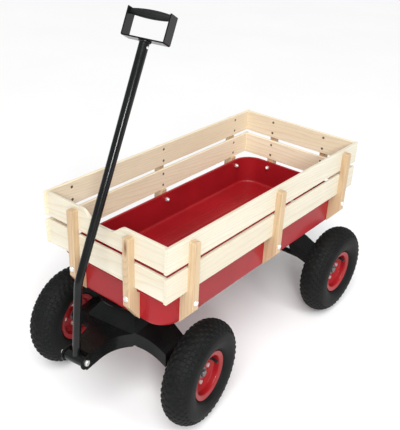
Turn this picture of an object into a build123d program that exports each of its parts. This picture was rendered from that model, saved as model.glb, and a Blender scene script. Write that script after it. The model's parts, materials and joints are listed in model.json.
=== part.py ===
from build123d import *
import math
import os

# Kids pull wagon: deep-drawn steel tray, slatted wooden stake sides, steered front axle,
# cranked pull handle and four pneumatic wheels on split steel rims.
# Millimetres. +X is forward (the way it is pulled), +Y is the wagon's left, +Z is up.
# Every piece is made about the middle of the slat box, with Z = 0 on the ground; at the end
# the whole wagon is moved so that the origin is the middle of its footprint, on the ground.

# ---- tray ---------------------------------------------------------------------------
tray_length = 756.0
tray_width = 336.0
tray_bottom = 284.0          # underside of the floor above the ground
tray_depth = 84.0            # underside of the floor to the top of the rim
tray_wall = 1.6
tray_corner_radius = 52.0
tray_foot_radius = 9.0
rim_reach = 7.5              # how far the rolled rim stands out from the wall
rim_height = 7.0
rib_offsets = (-112.0, -76.0, 76.0, 112.0)
rib_width = 18.0
rib_height = 1.4
rib_end_gap = 70.0           # from the end of a rib to the end wall

# ---- slats --------------------------------------------------------------------------
slat_thickness = 8.0
slat_height = 60.7
slat_gap = 11.6              # between the lower and the upper slat
slat_lift = 7.4              # above the tray's rim
slat_round = 1.6
side_standoff = 12.3         # tray wall to the inner face of a side slat
end_standoff = 7.0           # tray wall to the inner face of an end slat
slat_overhang = 3.0          # side slats run past the end slats
notch_half_top = 71.0        # handle notch in the front slat
notch_half_floor = 18.0
notch_depth = 24.0

# ---- stakes -------------------------------------------------------------------------
stake_width = 19.0
stake_depth = 17.0           # outside the slats
stake_top_drop = 9.0         # below the top of the upper slat
stake_round = 1.5
stake_top_round = 3.5
stake_foot_lift = 2.0        # inner foot above the underside of the tray
stake_cut_height = 47.0      # outer end of the slanted foot above the underside of the tray
rim_relief = 0.6             # room between the rim and the stake
side_stake_pitch = 320.0
end_stake_offset = 86.0

# ---- wood screws and stake bolts ------------------------------------------------------
screw_head_radius = 3.6
screw_head_depth = 2.6
screw_radius = 1.9
screw_bite = 11.0            # into the stake
screw_pitch = 33.0           # between the two screws of one slat
stake_bolt_radius = 3.0
stake_bolt_head_radius = 7.0
stake_bolt_head_height = 3.4
stake_bolt_drop = 18.0       # below the rim's top
acorn_across_flats = 10.0
acorn_height = 5.0
hole_gap = 0.1               # radial room round every fixed bolt

# ---- chassis fasteners ----------------------------------------------------------------
chassis_bolt_radius = 4.0
chassis_head_radius = 8.0
chassis_head_height = 3.6
chassis_nut_flats = 13.0
chassis_nut_height = 6.5
thread_proud = 2.5           # thread that shows past any nut

# ---- wheels ---------------------------------------------------------------------------
tyre_radius = 130.0
tyre_half_width = 38.3
tyre_belly_radius = 96.0     # where the tyre is widest
tyre_crown_half = 24.0
tyre_crown_drop = 5.5
tyre_thickness = 6.5
bead_width = 10.5
rim_edge_radius = 62.4
rim_half_width = 27.0
rim_skin = 2.0
bead_seat_radius = 50.0
rim_web_radius = 38.0
rim_bend_radius = 3.0
bead_gap = 0.1
bead_heel_cut = 2.0          # corner of the bead that clears the bend of the rim
bearing_radius = 14.0
bearing_width = 8.0
bearing_seat = 1.2           # middle plane of the wheel to the near face of a bearing
cup_wall = 2.0
rim_bolt_circle = 30.0
rim_bolt_radius = 3.0
rim_bolt_flats = 10.0
rim_bolt_head = 4.0
half_track = 197.6           # middle of the wagon to the middle of a wheel
front_axle_inset = 70.2      # behind the front end of the tray
rear_axle_inset = 54.4       # ahead of its rear end

# ---- axles ----------------------------------------------------------------------------
axle_height = tyre_radius
axle_radius = 8.0
journal_radius = 6.3
running_gap = 0.05           # radial, between a turning shaft and its bore
end_play = 0.3               # between faces that turn past each other
axle_cap_radius = 8.8
axle_cap_length = 5.0
axle_cap_wall = 2.0

# ---- pressed bolsters that carry the axles ----------------------------------------------
skin = 3.0
flange_depth = 36.0
wing_end = 139.0             # half the length across the wings
lug_radius = 17.0
front_plateau = 46.0
front_shoulder = (70.0, 34.0)     # out from the middle, down from the top
front_wing_drop = 74.0
front_hub_reach = 50.0       # flat top ahead of the kingpin
tongue_slope_end = 80.0
tongue_drop = 34.0
tongue_half_width = 29.0
tongue_curve_radius = 96.0
tongue_curve_centre = 153.0  # ahead of the kingpin
tongue_slot_start = 185.5
wing_rear_middle = 40.0
wing_rear_end = 22.0
rear_plateau = 50.0
rear_shoulder = (78.0, 96.0)
rear_wing_drop = 118.0
rear_half_middle = 38.0
rear_half_end = 30.0

# ---- steering turntable -----------------------------------------------------------------
plate_thickness = 3.0
plate_radius = 78.0
drum_top_radius = 60.0
drum_bottom_radius = 54.0
drum_height = 15.0
wear_ring_radius = 44.0
wear_ring_bore = 13.0
wear_ring_thickness = 4.0
plate_bolt_circle = 68.0
rear_bolt_x = 22.0
rear_bolt_y = 34.0
kingpin_radius = 6.0
kingpin_head_radius = 12.0
kingpin_head_height = 5.0
kingpin_nut_flats = 19.0
kingpin_nut_height = 11.0

# ---- handle -----------------------------------------------------------------------------
rest_steer = 7.7             # degrees that the front axle is turned to the left at rest
yoke_reach = 199.0           # kingpin to yoke bolt
yoke_height = 215.5
ear_tip_radius = 16.0
knuckle_radius = 12.0
knuckle_side_gap = 0.6
yoke_bolt_radius = 4.5
yoke_head_flats = 12.5
yoke_head_height = 4.5
yoke_nut_height = 8.0
lower_run = 186.0            # yoke bolt to the handle's bend
lower_lean = 6.1             # degrees back from upright
upper_lean = 27.1
upper_run = 512.0            # bend to the grip
bend_radius = 75.0
tube_radius = 9.0            # below the bend
tube_top_radius = 11.0       # the upper run widens towards the grip
tube_wall = 1.6
loop_width = 102.0
loop_height = 60.0
loop_depth = 29.0
loop_strip = 3.0
loop_corner = 4.0
loop_twist = 4.5             # degrees that the loop is welded on out of true
grip_rod_radius = 4.0
grip_rod_drop = 6.5          # grip's axis below the top of the loop
grip_middle_radius = 9.5
grip_end_radius = 6.0
grip_gap = 0.2

# ---- values worked out from the ones above ------------------------------------------------
tray_top = tray_bottom + tray_depth
slat_bottom = tray_top + slat_lift
slat_top = slat_bottom + 2 * slat_height + slat_gap
side_inner = tray_width / 2 + side_standoff
end_inner = tray_length / 2 + end_standoff
front_axle_x = tray_length / 2 - front_axle_inset
rear_axle_x = rear_axle_inset - tray_length / 2
side_slat_length = 2 * (end_inner + slat_thickness + slat_overhang)
end_slat_length = 2 * side_inner
slat_levels = {"lower": slat_bottom, "upper": slat_bottom + slat_height + slat_gap}
stake_bolt_height = tray_top - stake_bolt_drop
drum_bottom = tray_bottom - drum_height
front_bolster_top = drum_bottom - wear_ring_thickness - end_play
bearing_face = bearing_seat + bearing_width
shoulder_reach = half_track - bearing_face - end_play
kingpin_place = Pos(front_axle_x, 0, 0)
steered = kingpin_place * Rot(0, 0, rest_steer)
BASE = (Align.CENTER, Align.CENTER, Align.MIN)


def rod(start, direction, radius, length):
    """Round bar that starts at a point and runs along a direction."""
    return Plane(origin=start, z_dir=direction) * Cylinder(radius, length, align=BASE)


def hexagon(start, direction, across_flats, length):
    """Hexagonal bar, for bolt heads and nuts."""
    face = RegularPolygon(across_flats / 2, 6, major_radius=False)
    return Plane(origin=start, z_dir=direction) * extrude(face, length)


def group(solids):
    """Separate pieces of one kind, kept as separate solids."""
    return Compound([piece for item in solids for piece in item.solids()])


# ---- tray -------------------------------------------------------------------------------
def rounded_slab(length, width, radius, bottom, height):
    return Pos(0, 0, bottom) * extrude(RectangleRounded(length, width, radius), height)


def floor_rib(offset, lift, width):
    """Long half-round ridge pressed up into the floor."""
    length = tray_length - 2 * rib_end_gap
    ridge = Pos(0, offset, tray_bottom + lift) * Box(length, width, 2 * rib_height)
    return fillet(ridge.edges().filter_by(Axis.X).group_by(Axis.Z)[-1], rib_height)


def make_tray():
    body = rounded_slab(tray_length, tray_width, tray_corner_radius, tray_bottom, tray_depth)
    body = fillet(body.faces().sort_by(Axis.Z)[0].edges(), tray_foot_radius)
    rim = rounded_slab(tray_length + 2 * rim_reach, tray_width + 2 * rim_reach,
                       tray_corner_radius + rim_reach, tray_top - rim_height, rim_height)
    rim = fillet(rim.faces().filter_by(Axis.Z).edges(), 0.45 * rim_height)
    cavity = rounded_slab(tray_length - 2 * tray_wall, tray_width - 2 * tray_wall,
                          tray_corner_radius - tray_wall, tray_bottom + tray_wall, tray_depth)
    cavity = fillet(cavity.faces().sort_by(Axis.Z)[0].edges(), tray_foot_radius - tray_wall)
    tray = body + rim - cavity
    for offset in rib_offsets:
        tray += floor_rib(offset, tray_wall, rib_width)
        tray -= floor_rib(offset, 0, rib_width - 2 * tray_wall)
    for x, y in chassis_bolt_places():
        tray -= rod((x, y, tray_bottom - 1), (0, 0, 1), chassis_bolt_radius + hole_gap, 10)
    tray -= rod((front_axle_x, 0, tray_bottom - 1), (0, 0, 1), kingpin_radius + hole_gap, 10)
    for place in stake_places().values():
        tray -= place * rod((-tray_wall - 1, 0, stake_bolt_height), (1, 0, 0),
                            stake_bolt_radius + hole_gap, tray_wall + 2)
    return tray


# ---- slats and stakes ---------------------------------------------------------------------
# A stake, its screws and its bolt are made in the stake's own frame: X points out from the
# tray's wall, which is at X = 0, and Z is the height above the ground.
def stake_places():
    places = {}
    along = {"rear": -side_stake_pitch, "middle": 0.0, "front": side_stake_pitch}
    for name, x in along.items():
        places["left_" + name] = Pos(x, tray_width / 2, 0) * Rot(0, 0, 90)
        places["right_" + name] = Pos(x, -tray_width / 2, 0) * Rot(0, 0, -90)
    for name, y in {"left": end_stake_offset, "right": -end_stake_offset}.items():
        places["front_" + name] = Pos(tray_length / 2, y, 0)
        places["rear_" + name] = Pos(-tray_length / 2, y, 0) * Rot(0, 0, 180)
    return places


def standoff_of(name):
    return side_standoff if name.startswith(("left_", "right_")) else end_standoff


def screw_heights():
    for level in slat_levels.values():
        middle = level + slat_height / 2
        yield middle - screw_pitch / 2
        yield middle + screw_pitch / 2


def wood_screw(standoff, height, extra=0.0):
    """Countersunk screw, from the slat's inner face out into the stake."""
    start = Plane(origin=(standoff, 0, height), z_dir=(1, 0, 0))
    head = start * Cone(screw_head_radius + extra, screw_radius + extra, screw_head_depth,
                        align=BASE)
    shank = start * Cylinder(screw_radius + extra, slat_thickness + screw_bite, align=BASE)
    return head + shank


def stake_bolt(standoff):
    """Domed carriage bolt through the stake and the tray wall."""
    outer = standoff + slat_thickness + stake_depth
    inner = -tray_wall - acorn_height - 1.0
    shank = rod((inner, 0, stake_bolt_height), (1, 0, 0), stake_bolt_radius, outer - inner)
    head = rod((outer, 0, stake_bolt_height), (1, 0, 0), stake_bolt_head_radius,
               stake_bolt_head_height)
    rim_edge = head.faces().sort_by(Axis.X)[-1].edges()
    return shank + fillet(rim_edge, stake_bolt_head_height * 0.9)


def acorn_nut():
    """Domed nut on the inner side of the tray wall."""
    wall = (-tray_wall, 0, stake_bolt_height)
    nut = hexagon(wall, (-1, 0, 0), acorn_across_flats, acorn_height)
    dome = Pos(-tray_wall - acorn_height, 0, stake_bolt_height) * Sphere(acorn_across_flats * 0.46)
    bore = rod(wall, (-1, 0, 0), stake_bolt_radius + hole_gap, acorn_height + 1.0 + hole_gap)
    return nut + dome - bore


def make_stake(standoff):
    seat = standoff + slat_thickness
    outer = seat + stake_depth
    relief = rim_reach + rim_relief
    relief_bottom = tray_top - rim_height - rim_relief
    top = slat_top - stake_top_drop
    outline = Polyline((0, tray_bottom + stake_foot_lift), (0, relief_bottom),
                       (relief, relief_bottom), (relief, slat_bottom), (seat, slat_bottom),
                       (seat, top), (outer, top), (outer, tray_bottom + stake_cut_height),
                       close=True)
    side = Plane.XZ * make_face(outline)
    stake = extrude(side, stake_width / 2, both=True)
    long_edges = stake.edges().filter_by(Axis.Z).group_by(Axis.X)[-1]
    stake = fillet(long_edges, stake_round)
    top_edges = stake.faces().sort_by(Axis.Z)[-1].edges().filter_by(Axis.X)
    stake = fillet(top_edges, stake_top_round)
    for height in screw_heights():
        stake -= wood_screw(standoff, height, hole_gap)
    return stake - rod((-1, 0, stake_bolt_height), (1, 0, 0),
                       stake_bolt_radius + hole_gap, outer + 2)


def plain_board(length, level):
    board = Pos(0, 0, level) * Box(length, slat_thickness, slat_height, align=BASE)
    return fillet(board.edges().filter_by(Axis.X), slat_round)


def notch_cutter(top):
    """Gentle S-curved dip that the handle leans back into."""
    floor = top - notch_depth
    above = top + 10.0
    left = Spline((-notch_half_top, top), (-notch_half_floor, floor),
                  tangents=[(1, 0), (1, 0)])
    middle = Line((-notch_half_floor, floor), (notch_half_floor, floor))
    right = Spline((notch_half_floor, floor), (notch_half_top, top),
                   tangents=[(1, 0), (1, 0)])
    lid = Polyline((notch_half_top, top), (notch_half_top, above), (-notch_half_top, above),
                   (-notch_half_top, top))
    face = make_face([left, middle, right, lid])
    return extrude(Plane.XZ * face, slat_thickness, both=True)


def make_slats():
    slats = {}
    turn_in = {"left": Pos(0, side_inner + slat_thickness / 2, 0) * Rot(0, 0, 180),
               "right": Pos(0, -side_inner - slat_thickness / 2, 0),
               "front": Pos(end_inner + slat_thickness / 2, 0, 0) * Rot(0, 0, 90),
               "rear": Pos(-end_inner - slat_thickness / 2, 0, 0) * Rot(0, 0, -90)}
    for side, place in turn_in.items():
        length = side_slat_length if side in ("left", "right") else end_slat_length
        for level_name, level in slat_levels.items():
            board = plain_board(length, level)
            if (side, level_name) == ("front", "upper"):
                board -= notch_cutter(level + slat_height)
            slats[side + "_slat_" + level_name] = place * board
    for name, place in stake_places().items():
        side = name.split("_")[0]
        lower_screws = list(screw_heights())
        for level_name, heights in (("lower", lower_screws[:2]), ("upper", lower_screws[2:])):
            for height in heights:
                cut = place * wood_screw(standoff_of(name), height, hole_gap)
                slats[side + "_slat_" + level_name] -= cut
    return slats


def make_stakes():
    stakes = {}
    screws = []
    bolts = []
    nuts = []
    for name, place in stake_places().items():
        standoff = standoff_of(name)
        stakes["stake_" + name] = place * make_stake(standoff)
        screws += [place * wood_screw(standoff, height) for height in screw_heights()]
        bolts.append(place * stake_bolt(standoff))
        nuts.append(place * acorn_nut())
    stakes["slat_screws"] = group(screws)
    stakes["stake_bolts"] = group(bolts)
    stakes["stake_nuts"] = group(nuts)
    return stakes


# ---- chassis --------------------------------------------------------------------------------
def chassis_bolt_places():
    corner = plate_bolt_circle * math.sqrt(0.5)
    front = [(front_axle_x + i * corner, j * corner) for i in (-1, 1) for j in (-1, 1)]
    rear = [(rear_axle_x + i * rear_bolt_x, j * rear_bolt_y) for i in (-1, 1) for j in (-1, 1)]
    return front + rear


def make_chassis_fasteners():
    floor_top = tray_bottom + tray_wall
    nut_top = tray_bottom - plate_thickness
    length = floor_top - nut_top + chassis_nut_height + thread_proud
    bolts = []
    nuts = []
    for x, y in chassis_bolt_places():
        head = rod((x, y, floor_top), (0, 0, 1), chassis_head_radius, chassis_head_height)
        head = fillet(head.faces().sort_by(Axis.Z)[-1].edges(), 0.8 * chassis_head_height)
        bolts.append(head + rod((x, y, floor_top), (0, 0, -1), chassis_bolt_radius, length))
        nut = hexagon((x, y, nut_top), (0, 0, -1), chassis_nut_flats, chassis_nut_height)
        nuts.append(nut - rod((x, y, nut_top), (0, 0, -1), chassis_bolt_radius + hole_gap,
                              chassis_nut_height))
    return {"chassis_bolts": group(bolts), "chassis_nuts": group(nuts)}


def make_turntable():
    """Dished plate under the tray, the wear ring below it and the kingpin through both."""
    t = plate_thickness
    bore = kingpin_radius + hole_gap
    outline = Polyline((bore, drum_bottom), (drum_bottom_radius, drum_bottom),
                       (drum_top_radius, tray_bottom - t), (plate_radius, tray_bottom - t),
                       (plate_radius, tray_bottom), (drum_top_radius - t, tray_bottom),
                       (drum_bottom_radius - t, drum_bottom + t), (bore, drum_bottom + t),
                       close=True)
    plate = revolve(Plane.XZ * make_face(outline), Axis.Z)
    plate = kingpin_place * plate
    for x, y in chassis_bolt_places():
        plate -= rod((x, y, tray_bottom - 2 * t), (0, 0, 1), chassis_bolt_radius + hole_gap, 3 * t)
    ring = Pos(0, 0, drum_bottom - wear_ring_thickness) * (
        Cylinder(wear_ring_radius, wear_ring_thickness, align=BASE)
        - Cylinder(wear_ring_bore, wear_ring_thickness, align=BASE))
    floor_top = tray_bottom + tray_wall
    nut_top = front_bolster_top - skin - end_play
    pin_end = nut_top - kingpin_nut_height - thread_proud
    head = rod((0, 0, floor_top), (0, 0, 1), kingpin_head_radius, kingpin_head_height)
    head = fillet(head.faces().sort_by(Axis.Z)[-1].edges(), 0.8 * kingpin_head_height)
    pin = head + rod((0, 0, pin_end), (0, 0, 1), kingpin_radius, floor_top - pin_end)
    nut = hexagon((0, 0, nut_top), (0, 0, -1), kingpin_nut_flats, kingpin_nut_height)
    nut -= rod((0, 0, nut_top), (0, 0, -1), kingpin_radius + hole_gap, kingpin_nut_height)
    return {"turntable_plate": plate, "turntable_wear_ring": kingpin_place * ring,
            "kingpin": kingpin_place * pin, "kingpin_nut": kingpin_place * nut}


# ---- bolsters ---------------------------------------------------------------------------------
# A bolster is a steel pressing with a folded roof and a flange all round its outline. The
# roof is what lies under two folded sheets, one seen from the front and one from the side.
def under_roof(across, along, drop):
    """Solid below the folded roof, lowered by drop. Points are (out, height) pairs."""
    reach = 400.0
    wide = [(-v, z) for v, z in reversed(across)] + list(across)
    wide = [(wide[0][0] - reach, wide[0][1])] + wide + [(wide[-1][0] + reach, wide[-1][1])]
    wide_face = make_face(Polyline(*wide, (wide[-1][0], 0), (wide[0][0], 0), close=True))
    long_face = make_face(Polyline(*along, (along[-1][0], 0), (along[0][0], 0), close=True))
    front_view = extrude(Plane.YZ * wide_face, reach, both=True)
    side_view = extrude(Plane.XZ * long_face, reach, both=True)
    return Pos(0, 0, -drop) * (front_view & side_view)


def pressing(outline, across, along):
    """Skin and flange of one bolster; outline is a flat face seen from above."""
    height = across[0][1] + 10.0
    column = extrude(outline, height)
    core = extrude(offset(outline, -skin), height)
    shell = column & under_roof(across, along, 0)
    shell -= core & under_roof(across, along, skin)
    return shell - under_roof(across, along, flange_depth)


def axle_lugs(front, back, top):
    """End plates that reach down from the wings and carry the axle."""
    eye = Pos(0, axle_height) * Circle(lug_radius)
    shoulder = Pos((front - back) / 2, top) * Rectangle(front + back, 2.0)
    plate = Plane.XZ * make_hull(eye.edges() + shoulder.edges())
    lug = extrude(plate, skin)
    return Pos(0, wing_end, 0) * lug + Pos(0, skin - wing_end, 0) * lug


def axle_bore(x=0.0):
    return rod((x, -wing_end - 1, axle_height), (0, 1, 0), axle_radius + hole_gap,
               2 * wing_end + 2)


def front_outline():
    """Wings and tongue from above, joined by a large concave curve on each side."""
    front = tongue_curve_centre - tongue_curve_radius
    curve_y = tongue_half_width + tongue_curve_radius
    tip = yoke_reach + ear_tip_radius
    half = Polyline((-wing_rear_middle, 0), (-wing_rear_middle, front_plateau),
                    (-wing_rear_end, wing_end), (front, wing_end), (front, curve_y))
    middle = (tongue_curve_centre - tongue_curve_radius * math.sqrt(0.5),
              curve_y - tongue_curve_radius * math.sqrt(0.5))
    curve = ThreePointArc((front, curve_y), middle, (tongue_curve_centre, tongue_half_width))
    nose = Polyline((tongue_curve_centre, tongue_half_width), (tip, tongue_half_width), (tip, 0),
                    (-wing_rear_middle, 0))
    face = make_face([half, curve, nose])
    return face + mirror(face, Plane.XZ)


def make_front_bolster():
    top = front_bolster_top
    out, down = front_shoulder
    wing_tip = top - front_wing_drop
    across = [(front_plateau, top), (out, top - down), (wing_end, wing_tip)]
    along = [(-200, top), (front_hub_reach, top), (tongue_slope_end, top - tongue_drop),
             (400, top - tongue_drop)]
    bolster = pressing(front_outline(), across, along)
    wing_front = tongue_curve_centre - tongue_curve_radius
    bolster += axle_lugs(wing_front, wing_rear_end, wing_tip - flange_depth / 2)
    tip = yoke_reach + ear_tip_radius
    inside = tongue_half_width - skin
    slot = Pos((tongue_slot_start + tip + 5) / 2, 0, yoke_height) * Box(
        tip + 5 - tongue_slot_start, 2 * inside, 120)
    bolster -= slot
    ear_cut = Pos(yoke_reach, 0, yoke_height) * (
        Pos(ear_tip_radius, 0, 0) * Box(2 * ear_tip_radius, 200, 200)
        - Rot(90, 0, 0) * Cylinder(ear_tip_radius, 200))
    bolster -= ear_cut
    bolster -= axle_bore()
    bolster -= rod((0, 0, top - 20), (0, 0, 1), kingpin_radius + running_gap, 40)
    bolster -= rod((yoke_reach, -wing_end, yoke_height), (0, 1, 0), yoke_bolt_radius + hole_gap,
                   2 * wing_end)
    return bolster


def make_rear_bolster():
    top = tray_bottom
    out, down = rear_shoulder
    wing_tip = top - rear_wing_drop
    across = [(rear_plateau, top), (out, top - down), (wing_end, wing_tip)]
    along = [(-200, top), (200, top)]
    half = Polyline((-rear_half_middle, 0), (-rear_half_middle, rear_plateau),
                    (-rear_half_end, wing_end), (rear_half_end, wing_end),
                    (rear_half_middle, rear_plateau), (rear_half_middle, 0), close=True)
    face = make_face(half)
    outline = face + mirror(face, Plane.XZ)
    bolster = pressing(outline, across, along)
    bolster += axle_lugs(rear_half_end, rear_half_end, wing_tip - flange_depth / 2)
    bolster -= axle_bore()
    bolster = Pos(rear_axle_x, 0, 0) * bolster
    for x, y in chassis_bolt_places():
        bolster -= rod((x, y, top - 20), (0, 0, 1), chassis_bolt_radius + hole_gap, 40)
    return bolster


# ---- wheels -----------------------------------------------------------------------------------
# A wheel is made about its own middle, with its axis along Y and its outer side at +Y.
def make_tyre():
    bead_heel = rim_half_width - 2 * rim_skin
    bead_inner = bead_seat_radius + rim_skin / 2 + bead_gap
    belly = tyre_half_width - tyre_thickness
    with BuildSketch(Plane.YZ) as section:
        with BuildLine():
            crown = ThreePointArc((-tyre_crown_half, tyre_radius - tyre_crown_drop),
                                  (0, tyre_radius),
                                  (tyre_crown_half, tyre_radius - tyre_crown_drop))
            for side in (1, -1):
                start = crown @ (1 if side == 1 else 0)
                widest = (side * tyre_half_width, tyre_belly_radius)
                foot = (side * (bead_heel + 1.0), rim_edge_radius + 0.6)
                heel_side = (side * (bead_heel - 0.5), bead_inner + bead_heel_cut)
                heel = (side * (bead_heel - bead_heel_cut), bead_inner)
                toe = (side * (bead_heel - bead_width), bead_inner)
                throat = (side * (bead_heel - bead_width + 1.0), rim_edge_radius - 1.0)
                TangentArc(start, widest, tangent=(crown % (1 if side == 1 else 0)) * side)
                ThreePointArc(widest, (side * (tyre_half_width - 3.4), tyre_belly_radius - 19.0),
                              foot)
                Polyline(foot, heel_side, heel, toe, throat)
                ThreePointArc(throat, (side * belly, tyre_belly_radius - 4.0),
                              (0, tyre_radius - tyre_thickness))
        make_face()
    return revolve(section.sketch, Axis.Y)


def make_rim_half():
    """Outer half of the split rim: bearing cup, flat web, bead seat and rolled lip."""
    middle = rim_skin / 2
    cup = bearing_radius + cup_wall / 2
    lip = rim_half_width - middle
    path = FilletPolyline((cup, bearing_face + 0.6), (cup, middle), (rim_web_radius, middle),
                          (bead_seat_radius - 1.5, 10.0), (bead_seat_radius, lip - 2.5),
                          (rim_edge_radius - middle, lip), radius=rim_bend_radius)
    face = Plane.XY * trace(path, rim_skin)
    half = revolve(face, Axis.Y)
    for i in range(4):
        half -= Rot(0, 90 * i, 0) * rod((0, -1, rim_bolt_circle), (0, 1, 0),
                                        rim_bolt_radius + hole_gap, rim_skin + 2)
    return half


def make_rim_bolts():
    pieces = []
    nut_height = rim_bolt_head + 1.0
    for i in range(4):
        turn = Rot(0, 90 * i, 0)
        head = hexagon((0, rim_skin, rim_bolt_circle), (0, 1, 0), rim_bolt_flats, rim_bolt_head)
        length = 2 * rim_skin + nut_height + thread_proud
        shank = rod((0, rim_skin, rim_bolt_circle), (0, -1, 0), rim_bolt_radius, length)
        nut = hexagon((0, -rim_skin, rim_bolt_circle), (0, -1, 0), rim_bolt_flats, nut_height)
        nut -= rod((0, -rim_skin, rim_bolt_circle), (0, -1, 0), rim_bolt_radius + hole_gap,
                   nut_height)
        pieces += [turn * (head + shank), turn * nut]
    return group(pieces)


def make_bearings():
    bore = journal_radius + running_gap
    bearing = Cylinder(bearing_radius, bearing_width, align=BASE)
    bearing = chamfer(bearing.edges(), 0.6) - Cylinder(bore, bearing_width, align=BASE)
    groove = Pos(0, 0, bearing_width - 0.8) * (Cylinder(bearing_radius - 2.6, 1.0, align=BASE)
                                               - Cylinder(bore + 2.4, 1.0, align=BASE))
    bearing -= groove
    outer = Plane(origin=(0, bearing_seat, 0), z_dir=(0, 1, 0)) * bearing
    return group([outer, mirror(outer, Plane.XZ)])


def wheel_places():
    turn = {"left": Rot(0, 0, 0), "right": Rot(0, 0, 180)}
    shift = {"left": half_track, "right": -half_track}
    places = {}
    for side in turn:
        hub = Pos(0, shift[side], axle_height) * turn[side]
        places["front_" + side] = steered * hub
        places["rear_" + side] = Pos(rear_axle_x, 0, 0) * hub
    return places


def make_wheels():
    rim_outer = make_rim_half()
    pieces = {"tyre": make_tyre(), "rim_outer": rim_outer,
              "rim_inner": mirror(rim_outer, Plane.XZ), "bearings": make_bearings(),
              "rim_bolts": make_rim_bolts()}
    return {wheel + "_" + piece: place * shape for wheel, place in wheel_places().items()
            for piece, shape in pieces.items()}


# ---- axles --------------------------------------------------------------------------------------
def axle_cap():
    """Domed push-on cap at the end of an axle, with its mouth at Y = 0."""
    cap = rod((0, 0, 0), (0, 1, 0), axle_cap_radius, axle_cap_length)
    cap = fillet(cap.faces().sort_by(Axis.Y)[-1].edges(), 0.6 * axle_cap_length)
    return cap - rod((0, 0, 0), (0, 1, 0), journal_radius + hole_gap,
                     axle_cap_length - axle_cap_wall + hole_gap)


def make_axle(name, place):
    cap_mouth = half_track + bearing_face + end_play
    tip = cap_mouth + axle_cap_length - axle_cap_wall
    axle = rod((0, -shoulder_reach, axle_height), (0, 1, 0), axle_radius, 2 * shoulder_reach)
    axle += rod((0, -tip, axle_height), (0, 1, 0), journal_radius, 2 * tip)
    cap = Pos(0, cap_mouth, axle_height) * axle_cap()
    caps = group([cap, mirror(cap, Plane.XZ)])
    return {name + "_axle": place * axle, name + "_axle_caps": place * caps}


# ---- handle ---------------------------------------------------------------------------------------
# The handle is made in the steered frame, upright plane Y = 0, and then turned with the axle.
def lean(angle):
    """Unit vector that leans back from upright by an angle in degrees."""
    return Vector(-math.sin(math.radians(angle)), 0, math.cos(math.radians(angle)))


def handle_points():
    foot = Vector(yoke_reach, 0, yoke_height)
    bend = foot + lean(lower_lean) * lower_run
    top = bend + lean(upper_lean) * upper_run
    return foot, bend, top


def tube_run(radius_low, radius_high, overrun):
    """Bent tube that widens above its bend; overrun lets a bore run out of both ends."""
    foot, bend, top = handle_points()
    trim = bend_radius * math.tan(math.radians((upper_lean - lower_lean) / 2))
    start = foot - lean(lower_lean) * overrun
    bend_start = bend - lean(lower_lean) * trim
    bend_end = bend + lean(upper_lean) * trim
    path = Line(start, bend_start)
    path += TangentArc(bend_start, bend_end, tangent=lean(lower_lean))
    low = sweep(Plane(origin=start, z_dir=lean(lower_lean)) * Circle(radius_low), path=path)
    length = (top - bend_end).length + overrun
    high = Plane(origin=bend_end, z_dir=lean(upper_lean)) * Cone(
        radius_low, radius_high, length, align=BASE)
    return low + high


def make_handle():
    foot, _, top = handle_points()
    half = tongue_half_width - skin - knuckle_side_gap
    bore = yoke_bolt_radius + running_gap
    solid_knuckle = rod((foot.X, -half, foot.Z), (0, 1, 0), knuckle_radius, 2 * half)
    knuckle = solid_knuckle - rod((foot.X, -half, foot.Z), (0, 1, 0), bore, 2 * half)
    tube = tube_run(tube_radius, tube_top_radius, 0)
    tube -= tube_run(tube_radius - tube_wall, tube_top_radius - tube_wall, 1.0)
    tube -= solid_knuckle
    head_start = (yoke_reach, tongue_half_width, yoke_height)
    nut_start = (yoke_reach, -tongue_half_width, yoke_height)
    length = 2 * tongue_half_width + yoke_nut_height + thread_proud
    bolt = hexagon(head_start, (0, 1, 0), yoke_head_flats, yoke_head_height)
    bolt = chamfer(bolt.faces().sort_by(Axis.Y)[-1].edges(), 0.8)
    bolt += rod(head_start, (0, -1, 0), yoke_bolt_radius, length)
    nut = hexagon(nut_start, (0, -1, 0), yoke_head_flats, yoke_nut_height)
    nut -= rod(nut_start, (0, -1, 0), yoke_bolt_radius + hole_gap, yoke_nut_height)
    grip_place = Plane(origin=top, x_dir=(0, 1, 0), z_dir=lean(upper_lean))
    grip_place *= Rot(0, 0, loop_twist)
    pieces = {"handle_tube": tube, "handle_knuckle": knuckle, "yoke_bolt": bolt,
              "yoke_nut": nut, "grip_loop": grip_place * make_loop(),
              "grip_barrel": grip_place * make_grip()}
    return {name: steered * shape for name, shape in pieces.items()}


# The grip's own frame has X across the loop and Z along the tube, with Z = 0 on the tube's end.
def grip_axis_height():
    return loop_height - grip_rod_drop


def make_loop():
    """Flat strip bent up on both sides, with a rod welded across its top."""
    outside = Rectangle(loop_width, loop_height + loop_corner, align=(Align.CENTER, Align.MIN))
    outside = fillet(outside.vertices().group_by(Axis.Y)[0], loop_corner)
    inside = Pos(0, loop_strip) * Rectangle(loop_width - 2 * loop_strip, 2 * loop_height,
                                            align=(Align.CENTER, Align.MIN))
    inside = fillet(inside.vertices().group_by(Axis.Y)[0], loop_corner - loop_strip)
    lid = Pos(0, loop_height) * Rectangle(2 * loop_width, loop_height,
                                          align=(Align.CENTER, Align.MIN))
    strip = extrude(Plane.XZ * (outside - inside - lid), loop_depth / 2, both=True)
    bar = rod((-loop_width / 2, 0, grip_axis_height()), (1, 0, 0), grip_rod_radius, loop_width)
    return strip + bar


def make_grip():
    """Barrel-shaped sleeve on the loop's rod."""
    half = loop_width / 2 - loop_strip - grip_gap
    bore = grip_rod_radius + grip_gap
    curve = ThreePointArc((-half, grip_end_radius), (0, grip_middle_radius),
                          (half, grip_end_radius))
    sides = Polyline((half, grip_end_radius), (half, bore), (-half, bore),
                     (-half, grip_end_radius))
    barrel = revolve(make_face([curve, sides]), Axis.X)
    return Pos(0, 0, grip_axis_height()) * barrel


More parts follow.
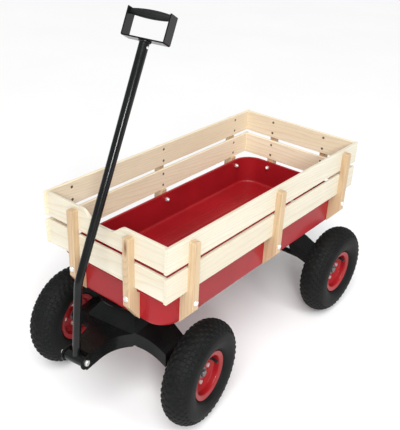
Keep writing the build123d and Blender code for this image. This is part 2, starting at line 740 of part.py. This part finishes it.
# ---- the whole wagon --------------------------------------------------------------------------------
def make_wagon():
    nodes = {"tray": make_tray()}
    nodes.update(make_slats())
    nodes.update(make_stakes())
    nodes.update(make_chassis_fasteners())
    nodes.update(make_turntable())
    nodes["rear_bolster"] = make_rear_bolster()
    nodes["front_bolster"] = steered * make_front_bolster()
    nodes.update(make_axle("rear", Pos(rear_axle_x, 0, 0)))
    nodes.update(make_axle("front", steered))
    nodes.update(make_handle())
    nodes.update(make_wheels())
    return nodes


def footprint_middle(nodes):
    box = Compound([solid for shape in nodes.values() for solid in shape.solids()]).bounding_box()
    return (box.min.X + box.max.X) / 2, (box.min.Y + box.max.Y) / 2


wagon = make_wagon()
middle_x, middle_y = footprint_middle(wagon)
to_origin = Pos(-middle_x, -middle_y, 0)

os.makedirs("parts", exist_ok=True)
for node, shape in wagon.items():
    export_step(Compound((to_origin * shape).solids()), "parts/" + node + ".step")
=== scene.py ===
import json
import math

import bmesh
import bpy
from mathutils import Matrix, Quaternion, Vector


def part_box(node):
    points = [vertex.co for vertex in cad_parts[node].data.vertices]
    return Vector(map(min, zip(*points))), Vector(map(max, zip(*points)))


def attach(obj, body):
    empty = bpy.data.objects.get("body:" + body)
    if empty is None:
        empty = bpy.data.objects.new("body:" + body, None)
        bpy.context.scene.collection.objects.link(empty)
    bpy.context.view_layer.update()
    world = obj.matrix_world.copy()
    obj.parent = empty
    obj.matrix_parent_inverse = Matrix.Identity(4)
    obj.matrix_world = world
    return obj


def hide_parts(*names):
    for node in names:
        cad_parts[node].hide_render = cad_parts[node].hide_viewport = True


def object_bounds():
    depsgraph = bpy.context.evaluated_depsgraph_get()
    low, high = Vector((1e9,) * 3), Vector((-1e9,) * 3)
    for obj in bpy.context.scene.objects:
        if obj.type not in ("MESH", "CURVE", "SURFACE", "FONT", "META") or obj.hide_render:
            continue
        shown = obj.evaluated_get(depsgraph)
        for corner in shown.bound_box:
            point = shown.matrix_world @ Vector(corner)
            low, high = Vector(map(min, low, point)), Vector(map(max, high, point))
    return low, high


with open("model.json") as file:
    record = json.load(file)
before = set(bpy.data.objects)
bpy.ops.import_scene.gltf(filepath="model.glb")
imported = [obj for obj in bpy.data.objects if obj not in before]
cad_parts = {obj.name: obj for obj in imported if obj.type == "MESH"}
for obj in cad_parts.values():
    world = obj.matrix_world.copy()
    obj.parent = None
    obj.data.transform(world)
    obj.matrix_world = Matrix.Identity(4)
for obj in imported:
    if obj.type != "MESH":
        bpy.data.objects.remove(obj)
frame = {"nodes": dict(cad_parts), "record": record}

# Kids pull wagon. Metres; +X is forward, +Y is the wagon's left, +Z is up.
bpy.ops.object.select_all(action="DESELECT")
cad_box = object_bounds()
nodes = frame["nodes"]
joints = {joint["name"]: joint for joint in frame["record"]["behaviour"]["joints"]}
WHEELS = ("front_left", "front_right", "rear_left", "rear_right")
UP = Vector((0, 0, 1))
SIDES = ("left", "right")
ENDS = ("front", "rear")
SLATS = tuple(side + "_slat_" + level for side in SIDES + ENDS for level in ("lower", "upper"))
SIDE_STAKES = tuple("stake_" + side + "_" + place for side in SIDES
                    for place in ("front", "middle", "rear"))
END_STAKES = tuple("stake_" + end + "_" + side for end in ENDS for side in SIDES)


def box_round(names):
    """Lowest and highest corner of the box round some CAD nodes."""
    corners = [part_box(name) for name in names]
    low = Vector([min(c[0][i] for c in corners) for i in range(3)])
    high = Vector([max(c[1][i] for c in corners) for i in range(3)])
    return low, high


slat_low, slat_high = box_round(SLATS)
ground = Vector(((slat_low.x + slat_high.x) / 2, (slat_low.y + slat_high.y) / 2, cad_box[0][2]))

# ---- camera, light and floor -------------------------------------------------------------
CAMERA_PLACE = Vector((1.2201, 0.9152, 1.1806))      # from the ground under the slat box
CAMERA_AIM = Vector((-0.0213, -0.0635, 0.3299))
CAMERA_ROLL = 2.61
CAMERA_LENS = 55.2
FLOOR_SIZE = 24.0
KEY_DIRECTION = (-0.62, -0.42, -1.0)
KEY_STRENGTH = 2.5
KEY_SPREAD = 40.0
SOFTBOX_SIZE = 0.5
SOFTBOXES = {                # place, aim and power
    "near_softbox": ((0.3, 2.4, 2.0), (0.1, 0.0, 0.4), 11.0),
    "front_softbox": ((2.1, 2.0, 1.7), (0.3, 0.0, 0.6), 36.0),
}
WORLD_STRENGTH = 0.42


def add_camera():
    data = bpy.data.cameras.new("camera")
    data.lens = CAMERA_LENS
    camera = bpy.data.objects.new("camera", data)
    bpy.context.scene.collection.objects.link(camera)
    camera.rotation_mode = "QUATERNION"
    camera.location = ground + CAMERA_PLACE
    turn = (CAMERA_AIM - CAMERA_PLACE).to_track_quat("-Z", "Y")
    camera.rotation_quaternion = turn @ Quaternion((0, 0, 1), math.radians(CAMERA_ROLL))
    bpy.context.scene.camera = camera


def add_softbox(name, place, aim, size, power):
    """Square area light that shines from one point towards another."""
    data = bpy.data.lights.new(name, "AREA")
    data.size = size
    data.energy = power
    light = bpy.data.objects.new(name, data)
    bpy.context.scene.collection.objects.link(light)
    light.rotation_mode = "QUATERNION"
    light.location = place
    light.rotation_quaternion = (Vector(aim) - Vector(place)).to_track_quat("-Z", "Y")


def add_sun(name, direction, strength, spread):
    """Broad, even light that shines along a direction."""
    data = bpy.data.lights.new(name, "SUN")
    data.energy = strength
    data.angle = math.radians(spread)
    light = bpy.data.objects.new(name, data)
    bpy.context.scene.collection.objects.link(light)
    light.rotation_mode = "QUATERNION"
    light.rotation_quaternion = Vector(direction).to_track_quat("-Z", "Y")


add_camera()
add_sun("key_light", KEY_DIRECTION, KEY_STRENGTH, KEY_SPREAD)
for name, (place, aim, power) in SOFTBOXES.items():
    add_softbox(name, place, aim, SOFTBOX_SIZE, power)

world = bpy.data.worlds.new("studio")
world.use_nodes = True
background = world.node_tree.nodes["Background"]
background.inputs["Color"].default_value = (1.0, 1.0, 1.0, 1.0)
background.inputs["Strength"].default_value = WORLD_STRENGTH
bpy.context.scene.world = world
bpy.context.scene.view_settings.view_transform = "Standard"


# ---- material helpers --------------------------------------------------------------------
class Recipe:
    """A Principled material and short ways to add texture nodes to it."""

    def __init__(self, name, **constants):
        self.material = bpy.data.materials.new(name)
        self.material.use_nodes = True
        self.tree = self.material.node_tree
        self.shader = self.tree.nodes["Principled BSDF"]
        for socket, value in constants.items():
            self.shader.inputs[socket.replace("_", " ")].default_value = value
        self.place = self.node("TexCoord").outputs["Object"]

    def node(self, kind, settings=None, **inputs):
        node = self.tree.nodes.new("ShaderNode" + kind)
        for key, value in (settings or {}).items():
            setattr(node, key, value)
        for key, value in inputs.items():
            socket = node.inputs[key.replace("_", " ")]
            if isinstance(value, bpy.types.NodeSocket):
                self.tree.links.new(value, socket)
            else:
                socket.default_value = value
        return node

    def stretched(self, scale, shift=(0, 0, 0)):
        mapping = self.node("Mapping", Vector=self.place, Scale=scale, Location=shift)
        return mapping.outputs["Vector"]

    def noise(self, vector, scale, detail=3.0, rough=0.55, warp=0.0):
        node = self.node("TexNoise", Vector=vector, Scale=scale, Detail=detail,
                         Roughness=rough, Distortion=warp)
        return node.outputs["Fac"]

    def ramp(self, value, *stops):
        """Colour or grey ramp; each stop is a position and a colour or a number."""
        node = self.node("ValToRGB", Fac=value)
        points = node.color_ramp.elements
        while len(points) < len(stops):
            points.new(0.5)
        for point, (position, colour) in zip(points, stops):
            point.position = position
            point.color = (colour,) * 3 + (1,) if isinstance(colour, (int, float)) else (*colour, 1)
        return node.outputs["Color"]

    def mix(self, amount, first, second, blend="MIX"):
        node = self.node("Mix", {"data_type": "RGBA", "blend_type": blend})
        for index, value in ((0, amount), (6, first), (7, second)):
            if isinstance(value, bpy.types.NodeSocket):
                self.tree.links.new(value, node.inputs[index])
            else:
                node.inputs[index].default_value = value if index == 0 else (*value, 1)
        return node.outputs[2]

    def maths(self, operation, first, second=0.0):
        node = self.node("Math", {"operation": operation})
        for index, value in ((0, first), (1, second)):
            if isinstance(value, bpy.types.NodeSocket):
                self.tree.links.new(value, node.inputs[index])
            else:
                node.inputs[index].default_value = value
        return node.outputs[0]

    def spread(self, value, low, high):
        """A 0 to 1 value spread over a range."""
        return self.node("MapRange", Value=value, To_Min=low, To_Max=high).outputs["Result"]

    def colour(self, socket):
        self.tree.links.new(socket, self.shader.inputs["Base Color"])

    def rough(self, socket):
        self.tree.links.new(socket, self.shader.inputs["Roughness"])

    def bump(self, *layers):
        """Stacked bump maps; each layer is a height, its distance and its strength."""
        normal = None
        for height, distance, strength in layers:
            node = self.node("Bump", Height=height, Distance=distance, Strength=strength)
            if normal:
                self.tree.links.new(normal, node.inputs["Normal"])
            normal = node.outputs["Normal"]
        self.tree.links.new(normal, self.shader.inputs["Normal"])


def dress(material, *names):
    """Gives CAD nodes a material in every slot."""
    for name in names:
        mesh = nodes[name].data
        if not mesh.materials:
            mesh.materials.append(material)
        for i in range(len(mesh.materials)):
            mesh.materials[i] = material


# ---- finishes ----------------------------------------------------------------------------
def enamel(name, deep, bright):
    """Stoved gloss enamel: slight orange peel and faint mottling."""
    paint = Recipe(name, Coat_Weight=0.12, Coat_Roughness=0.05, Specular_IOR_Level=0.24)
    cloud = paint.noise(paint.place, 9.0, 4.0)
    paint.colour(paint.ramp(cloud, (0.30, deep), (0.72, bright)))
    smear = paint.noise(paint.place, 34.0, 5.0, 0.6, 0.6)
    paint.rough(paint.spread(smear, 0.30, 0.46))
    peel = paint.noise(paint.place, 900.0, 1.0, 0.4)
    wave = paint.noise(paint.place, 28.0, 2.0, 0.4)
    paint.bump((wave, 0.0006, 0.35), (peel, 0.00005, 0.45))
    return paint.material


def gloss_black(name, coat, specular, rough_low, rough_high):
    """Black paint over steel, smooth or with a gloss coat."""
    paint = Recipe(name, Coat_Weight=coat, Coat_Roughness=0.09, Specular_IOR_Level=specular)
    cloud = paint.noise(paint.place, 14.0, 5.0, 0.6)
    paint.colour(paint.ramp(cloud, (0.32, (0.0030, 0.0034, 0.0034)),
                            (0.75, (0.0085, 0.0092, 0.0090))))
    smear = paint.noise(paint.place, 60.0, 4.0, 0.6, 0.8)
    paint.rough(paint.spread(smear, rough_low, rough_high))
    peel = paint.noise(paint.place, 420.0, 1.0, 0.4)
    paint.bump((peel, 0.00004, 0.12))
    return paint.material


def plated(name, tint, rough_low, rough_high):
    """Plated steel with faint cloudy patches."""
    metal = Recipe(name, Metallic=0.55, Specular_IOR_Level=0.7)
    cloud = metal.noise(metal.place, 160.0, 4.0)
    dark = tuple(0.72 * c for c in tint)
    metal.colour(metal.ramp(cloud, (0.35, dark), (0.68, tint)))
    metal.rough(metal.spread(metal.noise(metal.place, 420.0, 3.0), rough_low, rough_high))
    metal.bump((metal.noise(metal.place, 1500.0, 2.0), 0.00003, 0.5))
    return metal.material


def pine(name, axis, pale, deep, late, knots=(), figure=1.0, shift=0.0, tilt=2.0):
    """Planed pine with grain along one axis: early and late wood, fine pores and knots.
    Each knot is a centre, a radius and how far it stretches along the grain."""
    wood = Recipe(name, Specular_IOR_Level=0.42, Coat_Weight=0.08, Coat_Roughness=0.3)
    along = "xyz".index(axis)

    def scales(cross, length):
        return [length if i == along else cross for i in range(3)]

    pulls = []
    dark_spots = []
    for centre, radius, reach in knots:
        size = [1 / (radius * reach) if i == along else 1 / radius for i in range(3)]
        offset = [-c * s for c, s in zip(centre, size)]
        near = wood.stretched(size, offset)
        length = wood.node("VectorMath", {"operation": "LENGTH"}, Vector=near).outputs["Value"]
        pulls.append(wood.ramp(wood.maths("MULTIPLY", length, 0.25), (0.0, 1.0), (1.0, 0.0)))
        dark_spots.append(wood.ramp(length, (0.15, 1.0), (1.0, 0.0)))
    warp = wood.noise(wood.stretched(scales(9.0, 1.3), (shift, shift, shift)), 1.0, 2.0)
    if pulls:
        pull = pulls[0]
        for other in pulls[1:]:
            pull = wood.maths("MAXIMUM", pull, other)
        warp = wood.maths("ADD", warp, wood.maths("MULTIPLY", pull, 0.55))
    turn = [0, 0, 0]
    turn[(along + 1) % 3] = tilt
    turn[(along + 2) % 3] = 0.6 * tilt
    log = wood.node("Mapping", Vector=wood.place, Rotation=[math.radians(a) for a in turn],
                    Location=(0.13 + shift, 0.31 - shift, 0.09 + 0.5 * shift)).outputs["Vector"]
    spot = wood.node("SeparateXYZ", Vector=log)
    across = [spot.outputs[i] for i in range(3) if i != along]
    radial = wood.maths("SQRT", wood.maths("ADD", wood.maths("MULTIPLY", across[0], across[0]),
                                           wood.maths("MULTIPLY", across[1], across[1])))
    rings = wood.maths("ADD", wood.maths("MULTIPLY", radial, 150.0 * figure),
                       wood.maths("MULTIPLY", warp, 9.0))
    saw = wood.maths("FRACT", rings)
    year = wood.ramp(saw, (0.0, 0.0), (0.62, 0.25), (0.86, 1.0), (1.0, 0.0))
    streak = wood.noise(wood.stretched(scales(160.0, 4.0)), 1.0, 3.0, 0.6)
    pores = wood.noise(wood.stretched(scales(1300.0, 28.0)), 1.0, 2.0, 0.6)
    tone = wood.noise(wood.stretched(scales(12.0, 2.0), (0, 0, shift)), 1.0, 2.0)
    base = wood.ramp(tone, (0.30, deep), (0.68, pale))
    ringed = wood.mix(wood.maths("MULTIPLY", year, wood.spread(streak, 0.25, 0.75)), base, late)
    fibre = wood.ramp(pores, (0.32, 0.80), (0.60, 1.0))
    surface = wood.mix(0.5, ringed, fibre, "MULTIPLY")
    for dark in dark_spots:
        surface = wood.mix(dark, surface, (0.20, 0.085, 0.035))
    wood.colour(surface)
    wood.rough(wood.spread(streak, 0.42, 0.62))
    wood.bump((year, 0.00025, 0.35), (pores, 0.00012, 0.5))
    return wood.material


def turned_rubber(name):
    """Tyre rubber: nearly black, dusty in patches, finely moulded."""
    rubber = Recipe(name, Specular_IOR_Level=0.13)
    cloud = rubber.noise(rubber.place, 24.0, 5.0, 0.65)
    fine = rubber.noise(rubber.place, 420.0, 3.0, 0.6)
    base = rubber.ramp(cloud, (0.30, (0.0035, 0.0040, 0.0038)), (0.75, (0.0085, 0.0094, 0.0088)))
    dusty = rubber.ramp(fine, (0.52, 0.0), (0.80, 0.30))
    rubber.colour(rubber.mix(dusty, base, (0.022, 0.023, 0.021)))
    rubber.rough(rubber.spread(cloud, 0.50, 0.72))
    rubber.bump((fine, 0.0002, 0.5), (rubber.noise(rubber.place, 2200.0, 2.0), 0.00006, 0.5))
    return rubber.material


def moulded(name, colour, rough_low, rough_high, grain=1100.0):
    """Moulded plastic with a fine leathery grain."""
    plastic = Recipe(name, Specular_IOR_Level=0.25)
    cells = plastic.node("TexVoronoi", {"feature": "F1"}, Vector=plastic.place, Scale=grain)
    cloud = plastic.noise(plastic.place, 45.0, 4.0)
    dark = tuple(0.7 * c for c in colour)
    plastic.colour(plastic.ramp(cloud, (0.3, dark), (0.7, colour)))
    plastic.rough(plastic.spread(cloud, rough_low, rough_high))
    plastic.bump((cells.outputs["Distance"], 0.00012, 0.6))
    return plastic.material


tray_red = enamel("tray_red", (0.27, 0.007, 0.011), (0.35, 0.010, 0.016))
rim_red = enamel("rim_red", (0.24, 0.006, 0.009), (0.34, 0.010, 0.014))
black_paint = gloss_black("black_paint", 0.10, 0.12, 0.22, 0.36)
handle_gloss = gloss_black("handle_gloss", 0.30, 0.12, 0.16, 0.28)
zinc = plated("zinc", (0.90, 0.90, 0.88), 0.22, 0.38)
bearing_steel = plated("bearing_steel", (0.17, 0.165, 0.16), 0.30, 0.45)
dark_screw = plated("dark_screw", (0.20, 0.15, 0.11), 0.38, 0.55)
grip_black = moulded("grip_black", (0.011, 0.012, 0.012), 0.40, 0.55)
nylon = moulded("nylon", (0.75, 0.73, 0.66), 0.35, 0.50, 700.0)
tyre_rubber = turned_rubber("tyre_rubber")

dress(tray_red, "tray")
dress(black_paint, "front_bolster", "rear_bolster", "turntable_plate", "front_axle", "rear_axle",
      "yoke_nut")
dress(handle_gloss, "handle_tube", "handle_knuckle", "grip_loop")
dress(zinc, "stake_bolts", "stake_nuts", "chassis_bolts", "chassis_nuts", "kingpin",
      "kingpin_nut", "yoke_bolt")
dress(bearing_steel, "front_axle_caps", "rear_axle_caps")
dress(dark_screw, "slat_screws")
dress(grip_black, "grip_barrel")
dress(nylon, "turntable_wear_ring")
for wheel in WHEELS:
    dress(rim_red, wheel + "_rim_outer", wheel + "_rim_inner")
    dress(zinc, wheel + "_rim_bolts")
    dress(bearing_steel, wheel + "_bearings")
    dress(tyre_rubber, wheel + "_tyre")

# The two board colours are painted light on the same pine. The left and front slats, whose outer
# faces catch the lamps, get a greyer cream. The right and rear slats, whose inner faces are seen in
# shade, get a warmer tan.
NEAR_LIT_BOARD = ((0.75, 0.72, 0.60), (0.69, 0.63, 0.50), (0.61, 0.51, 0.36))
FAR_SHADED_BOARD = ((0.89, 0.80, 0.62), (0.82, 0.71, 0.51), (0.70, 0.55, 0.36))
STAKE_WOOD = ((0.62, 0.47, 0.30), (0.54, 0.38, 0.22), (0.43, 0.26, 0.13))
for i, name in enumerate(SLATS):
    axis = "x" if name.startswith(SIDES) else "y"
    # Painted light: near slats facing the lamps take the cream copy, far slats seen in shade take
    # the tan copy.
    board = NEAR_LIT_BOARD if name.startswith(("left", "front")) else FAR_SHADED_BOARD
    dress(pine("pine_" + name, axis, *board, figure=0.7 + 0.12 * (i % 4), shift=0.37 * i,
               tilt=1.5 + i % 3), name)
KNOTTED_STAKE = "stake_front_left"
KNOT_DROP = 0.022            # below the top of the stake
KNOT_RADIUS = 0.0065
KNOT_REACH = 4.0             # how far it runs along the grain
for i, name in enumerate(SIDE_STAKES + END_STAKES):
    low, high = (Vector(corner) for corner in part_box(name))
    knot = Vector((high.x, (low.y + high.y) / 2, high.z - KNOT_DROP))
    knots = [(knot, KNOT_RADIUS, KNOT_REACH)] if name == KNOTTED_STAKE else []
    dress(pine("pine_" + name, "z", *STAKE_WOOD, knots, figure=1.0 + 0.15 * (i % 3),
               shift=0.23 * i, tilt=4.0), name)

floor_paint = Recipe("floor_paint")
floor_paint.colour(floor_paint.ramp(floor_paint.noise(floor_paint.place, 1.5, 3.0),
                                    (0.3, (0.90, 0.90, 0.90)), (0.7, (0.92, 0.92, 0.92))))
floor_paint.rough(floor_paint.spread(floor_paint.noise(floor_paint.place, 40.0), 0.75, 0.9))
bpy.ops.mesh.primitive_plane_add(size=FLOOR_SIZE, location=ground)
floor = bpy.context.object
floor.name = "studio_floor"
floor.data.materials.append(floor_paint.material)

# ---- modelling helpers -------------------------------------------------------------------
JOIN_DISTANCE = 0.00001
SEED_SIZE = 0.001            # small plane that is merged to the first point of an outline
SHARP_ANGLE = 35.0           # edges sharper than this stay crisp, in degrees
ROUND_SMOOTH = 60.0          # the same for moulded and welded shapes


def select_faces(piece, test):
    """Selects just the faces whose middle passes a test; the piece is in edit mode."""
    bpy.ops.mesh.select_mode(type="FACE")
    bpy.ops.mesh.select_all(action="DESELECT")
    mesh = bmesh.from_edit_mesh(piece.data)
    for face in mesh.faces:
        face.select_set(test(face.calc_center_median()))
    bmesh.update_edit_mesh(piece.data)


def begin(name):
    """Names the primitive just added and opens it for editing."""
    piece = bpy.context.object
    piece.name = name
    piece.data.name = name
    bpy.ops.object.mode_set(mode="EDIT")
    return piece


def close_up(piece, smooth_angle=SHARP_ANGLE):
    """Welds doubles, turns faces outwards and leaves edit mode with smooth shading."""
    bpy.ops.mesh.select_all(action="SELECT")
    bpy.ops.mesh.remove_doubles(threshold=JOIN_DISTANCE)
    bpy.ops.mesh.normals_make_consistent(inside=False)
    bpy.ops.object.mode_set(mode="OBJECT")
    bpy.ops.object.shade_smooth_by_angle(angle=math.radians(smooth_angle))


def settle(piece, matrix, body, material, slot, *replaced):
    """Puts a finished piece in place, in its mesh, and hangs it on its body."""
    piece.matrix_world = matrix
    bpy.ops.object.select_all(action="DESELECT")
    piece.select_set(True)
    bpy.context.view_layer.objects.active = piece
    bpy.ops.object.transform_apply(location=True, rotation=True, scale=True)
    piece.data.materials.clear()
    piece.data.materials.append(material)
    if replaced:
        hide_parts(*replaced)
    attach(piece, body)
    piece.select_set(False)


def copy_of(piece, name):
    """Copy with its own mesh."""
    bpy.ops.object.select_all(action="DESELECT")
    piece.select_set(True)
    bpy.context.view_layer.objects.active = piece
    bpy.ops.object.duplicate(linked=False)
    copy = bpy.context.object
    copy.name = name
    copy.data.name = name
    return copy


def turned(name, outline, steps):
    """Solid of revolution about Y. The outline runs from the axis back to the axis, as
    (out from the axis, along it) points."""
    bpy.ops.mesh.primitive_plane_add(size=SEED_SIZE)
    piece = begin(name)
    bpy.ops.mesh.select_mode(type="VERT")
    bpy.ops.mesh.select_all(action="SELECT")
    bpy.ops.mesh.merge(type="CENTER")
    bpy.ops.transform.translate(value=(outline[0][0], outline[0][1], 0.0))
    for (r0, y0), (r1, y1) in zip(outline, outline[1:]):
        bpy.ops.mesh.extrude_region_move(
            TRANSFORM_OT_translate={"value": (r1 - r0, y1 - y0, 0.0)})
    bpy.ops.mesh.select_all(action="SELECT")
    bpy.ops.mesh.spin(steps=steps, angle=2 * math.pi, center=(0, 0, 0), axis=(0, 1, 0))
    close_up(piece)
    return piece


# ---- tyres -------------------------------------------------------------------------------
TREAD_DEPTH = 0.0021
TREAD_PITCHES = 84
SECTION_POINTS = 26
TREAD_HALF_ANGLE = 60.0      # of the tyre's round section, either side of the crown
BLOCK_EDGE = 0.0006
BLOCK_CREASE = 0.7
TYRE_FOOT = 0.054            # innermost radius, inside the rim
RIDGE_BANDS = ((70, 80), (120, 130))     # on the sidewalls, in degrees from the crown
RIDGE_EDGE = 0.0012
RIDGE_HEIGHT = 0.0006

tyre_low, tyre_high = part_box("rear_left_tyre")
TYRE_RADIUS = (tyre_high[2] - tyre_low[2]) / 2
TYRE_HALF_WIDTH = (tyre_high[1] - tyre_low[1]) / 2


def section_place(point):
    """Turn round the wheel and round the tyre's section, both in radians."""
    turn = math.atan2(point.z, point.x) % (2 * math.pi)
    middle = (TYRE_RADIUS - TREAD_DEPTH + TYRE_FOOT) / 2
    return turn, math.atan2(point.y, math.hypot(point.x, point.z) - middle)


def make_tyre():
    """Round-section tyre about Y with rows of small staggered tread blocks."""
    tall = (TYRE_RADIUS - TREAD_DEPTH - TYRE_FOOT) / 2
    middle = TYRE_FOOT + tall
    bpy.ops.mesh.primitive_circle_add(vertices=SECTION_POINTS, radius=tall,
                                      location=(middle, 0.0, 0.0))
    bpy.ops.object.transform_apply(location=True)
    tyre = begin("tyre")
    bpy.ops.transform.resize(value=(1.0, TYRE_HALF_WIDTH / tall, 1.0),
                             center_override=(middle, 0.0, 0.0))
    bpy.ops.mesh.select_all(action="SELECT")
    bpy.ops.mesh.spin(steps=TREAD_PITCHES, angle=2 * math.pi, center=(0, 0, 0), axis=(0, 1, 0))
    bpy.ops.mesh.select_all(action="SELECT")
    bpy.ops.mesh.remove_doubles(threshold=JOIN_DISTANCE)
    bpy.ops.mesh.normals_make_consistent(inside=False)

    def is_block(point):
        turn, roll = section_place(point)
        row = math.floor(math.degrees(roll) * SECTION_POINTS / 360)
        pitch = math.floor(turn * TREAD_PITCHES / (2 * math.pi))
        return abs(math.degrees(roll)) < TREAD_HALF_ANGLE and (row + pitch) % 2 == 0

    def is_ridge(point):
        roll = abs(math.degrees(section_place(point)[1]))
        return any(low < roll < high for low, high in RIDGE_BANDS)

    select_faces(tyre, is_block)
    bpy.ops.mesh.inset(thickness=BLOCK_EDGE, depth=TREAD_DEPTH, use_individual=True)
    bpy.ops.mesh.region_to_loop()
    bpy.ops.transform.edge_crease(value=BLOCK_CREASE)
    select_faces(tyre, is_ridge)
    bpy.ops.mesh.inset(thickness=RIDGE_EDGE, depth=RIDGE_HEIGHT, use_even_offset=True)
    close_up(tyre, ROUND_SMOOTH)
    soften = tyre.modifiers.new("soften", "SUBSURF")
    soften.levels = soften.render_levels = 1
    bpy.ops.object.modifier_apply(modifier="soften")
    return tyre


def wheel_frame(wheel):
    """Matrix that takes a wheel made about Y to its place, with its outer side outwards."""
    joint = joints[wheel + "_roll"]
    out = Vector(joint["axis"]) * (1 if wheel.endswith("left") else -1)
    side = out.cross(UP)
    turn = Matrix((side, out, UP)).transposed().to_4x4()
    return Matrix.Translation(Vector(joint["pos_m"])) @ turn


first_tyre = make_tyre()
for wheel in WHEELS:
    tyre = first_tyre if wheel == WHEELS[-1] else copy_of(first_tyre, wheel + "_tread_tyre")
    tyre.name = tyre.data.name = wheel + "_tread_tyre"
    settle(tyre, wheel_frame(wheel), wheel + "_wheel", tyre_rubber, "tyre_rubber",
           wheel + "_tyre")

# ---- valve stems -------------------------------------------------------------------------
VALVE_RING = 0.0435          # distance of the valve's foot from the axle
VALVE_FOOT = 0.0055
VALVE_LEAN = 12.0
VALVE_STEPS = 20
VALVE_TURN = {"front_left": 200.0, "front_right": 70.0, "rear_left": 215.0, "rear_right": 20.0}
valve_outline = ((0.0, -0.004), (0.0052, -0.004), (0.0052, 0.0015), (0.0038, 0.0032),
                 (0.0034, 0.012), (0.0030, 0.0122), (0.0030, 0.0132), (0.0037, 0.0136),
                 (0.0037, 0.0200), (0.0030, 0.0212), (0.0, 0.0214))
first_valve = turned("valve", valve_outline, VALVE_STEPS)
for wheel in WHEELS:
    valve = first_valve if wheel == WHEELS[-1] else copy_of(first_valve, wheel + "_valve")
    valve.name = valve.data.name = wheel + "_valve"
    place = (wheel_frame(wheel) @ Matrix.Rotation(math.radians(VALVE_TURN[wheel]), 4, "Y")
             @ Matrix.Translation((VALVE_RING, VALVE_FOOT, 0.0))
             @ Matrix.Rotation(math.radians(VALVE_LEAN), 4, "Z"))
    settle(valve, place, wheel + "_wheel", grip_black, "grip_black")

# ---- handle rivet and weld ---------------------------------------------------------------
HANDLE_LEAN = 27.1           # upper run of the handle, back from upright
RIVET_DROP = 0.066           # grip's middle to the rivet, along the tube
TUBE_RADIUS = 0.0108
RIVET_HEAD = 0.0034
RIVET_STEPS = 24

grip_low, grip_high = (Vector(corner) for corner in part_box("grip_barrel"))
grip_middle = (grip_low + grip_high) / 2
across = Vector(joints["handle_fold"]["axis"])
ahead = across.cross(UP)
tube_way = (UP * math.cos(math.radians(HANDLE_LEAN))
            - ahead * math.sin(math.radians(HANDLE_LEAN)))
rivet_outline = ((0.0, 0.0016), (0.0018, 0.0013), (0.0030, 0.0006), (RIVET_HEAD, -0.0004),
                 (RIVET_HEAD, -0.0012), (0.0, -0.0012))
rivet = turned("handle_rivet", rivet_outline, RIVET_STEPS)
rivet_turn = Matrix((tube_way, across, tube_way.cross(across))).transposed().to_4x4()
rivet_place = grip_middle - tube_way * RIVET_DROP + across * TUBE_RADIUS
settle(rivet, Matrix.Translation(rivet_place) @ rivet_turn, "pull_handle", zinc, "zinc")

LOOP_DROP = 0.0545           # grip's middle to the foot of the loop
WELD_RADIUS = 0.0026
WELD_RING = 0.011            # radius of the tube's top end
WELD_STEPS = 48
WELD_ROUND = 10
RIPPLE_STEPS = 3             # one step in so many is raised
RIPPLE_HEIGHT = 0.0004


def is_ripple(point):
    turn = math.atan2(point.y, point.x) % (2 * math.pi)
    return math.floor(turn * WELD_STEPS / (2 * math.pi)) % RIPPLE_STEPS == 0


bpy.ops.mesh.primitive_torus_add(major_segments=WELD_STEPS, minor_segments=WELD_ROUND,
                                 major_radius=WELD_RING, minor_radius=WELD_RADIUS)
bead = begin("loop_weld")
select_faces(bead, is_ripple)
bpy.ops.transform.shrink_fatten(value=RIPPLE_HEIGHT)
close_up(bead, ROUND_SMOOTH)
bead_turn = tube_way.to_track_quat("Z", "Y").to_matrix().to_4x4()
bead_place = grip_middle - tube_way * LOOP_DROP
settle(bead, Matrix.Translation(bead_place) @ bead_turn, "pull_handle", handle_gloss,
       "black_paint")

# ---- stiffener under the tongue ----------------------------------------------------------
STIFFENER = Vector((0.003, 0.052, 0.022))       # thickness, width, height
STIFFENER_BACK = 0.0155      # behind the yoke bolt
STIFFENER_LIFT = 0.0010      # above the yoke bolt
STIFFENER_EDGE = 0.0005

bpy.ops.mesh.primitive_cube_add(size=1.0)
stiffener = begin("tongue_stiffener")
bpy.ops.transform.resize(value=STIFFENER, center_override=(0, 0, 0))
bpy.ops.mesh.bevel(offset=STIFFENER_EDGE, segments=2, affect="EDGES")
close_up(stiffener)
yoke = Vector(joints["handle_fold"]["pos_m"])
stiffener_turn = Matrix((ahead, across, UP)).transposed().to_4x4()
stiffener_place = yoke - ahead * STIFFENER_BACK + UP * STIFFENER_LIFT
settle(stiffener, Matrix.Translation(stiffener_place) @ stiffener_turn, "front_carriage",
       black_paint, "black_paint")
